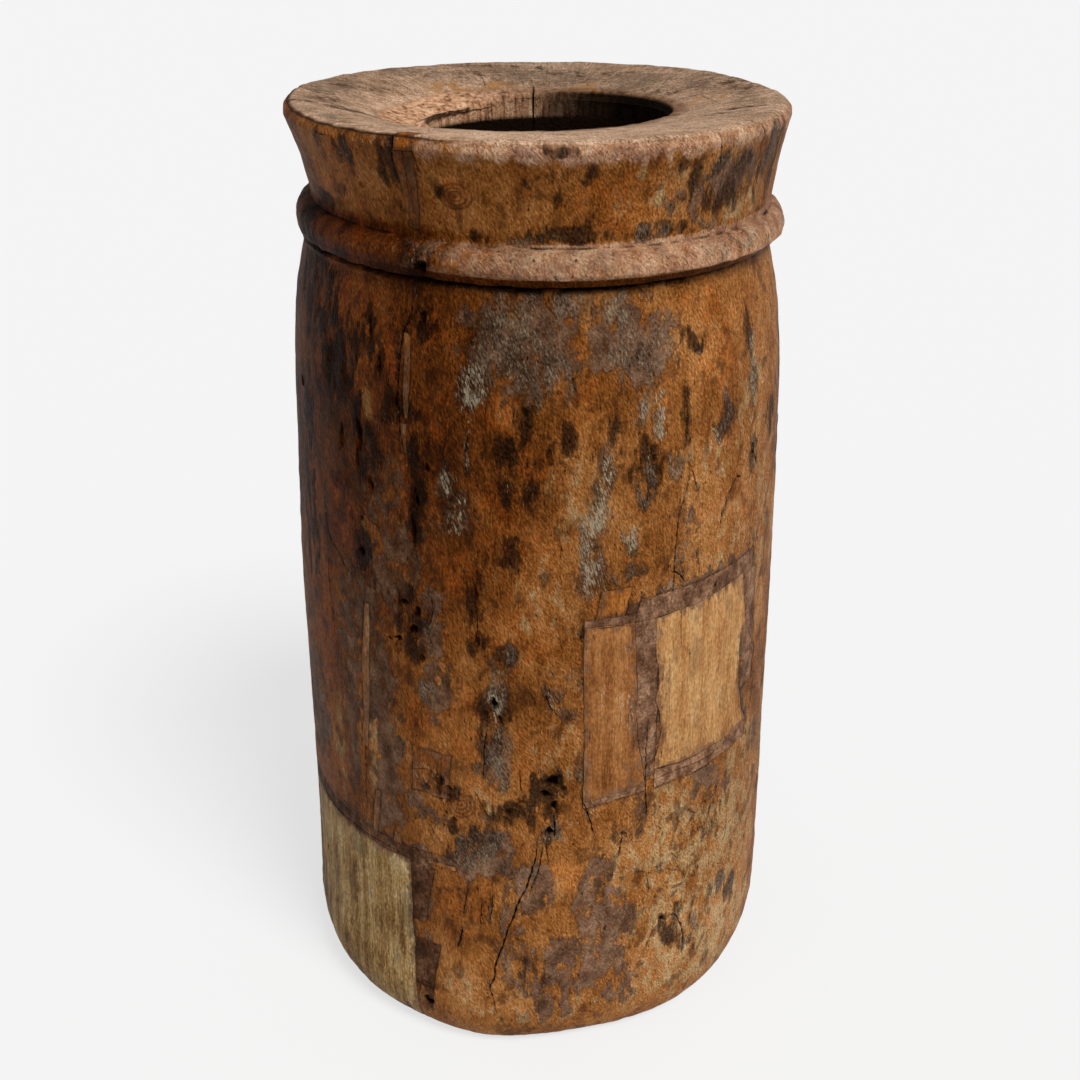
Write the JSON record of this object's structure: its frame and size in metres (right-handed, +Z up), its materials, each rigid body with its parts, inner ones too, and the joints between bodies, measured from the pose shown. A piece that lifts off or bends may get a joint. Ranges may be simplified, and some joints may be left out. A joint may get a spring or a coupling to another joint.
{
  "type": "butter pot",
  "caption": "Tall carved wooden butter pot: one hollowed log with a beaded shoulder, flared neck, dished rim, oval mouth and let-in board repairs.",
  "frame": {"origin": "middle of the flat foot face that the pot stands on", "axes": "+Z up along the pot, -Y towards the front that the picture shows, +X to its right"},
  "size_m": [0.2744, 0.2736, 0.5],
  "materials": {
    "log_wood": "old oiled hardwood, adzed, weathered grey-black in patches",
    "pale_board": "pale yellow straight-grained board",
    "red_board": "reddish brown board, worn",
    "grey_board": "greyed straight-grained board",
    "wedge_wood": "orange-brown wedge wood",
    "sliver_wood": "red-brown sliver wood",
    "filling": "matt purple-brown wood-dust filling, cracked",
    "nail_iron": "dark rusted iron"
  },
  "bodies": {
    "root": {"pot_body": "log_wood", "right_patch": "pale_board", "middle_patch": "red_board", "upper_shim": "wedge_wood", "foot_patch": "grey_board", "square_patch": "red_board", "neck_wedge_cap": "wedge_wood", "neck_wedge_left": "wedge_wood", "neck_wedge_right": "sliver_wood", "shoulder_sliver": "sliver_wood", "shoulder_sliver_lower": "sliver_wood", "left_sliver": "sliver_wood", "left_sliver_lower": "sliver_wood", "foot_chip": "wedge_wood", "small_chip": "sliver_wood", "right_patch_top_filling": "filling", "right_patch_side_filling": "filling", "right_patch_bottom_filling": "filling", "middle_filling": "filling", "middle_patch_top_filling": "filling", "middle_patch_bottom_filling": "filling", "foot_patch_top_filling": "filling", "foot_side_filling": "filling", "foot_side_filling_lower": "filling", "foot_nail": "nail_iron"}
  },
  "joints": []
}
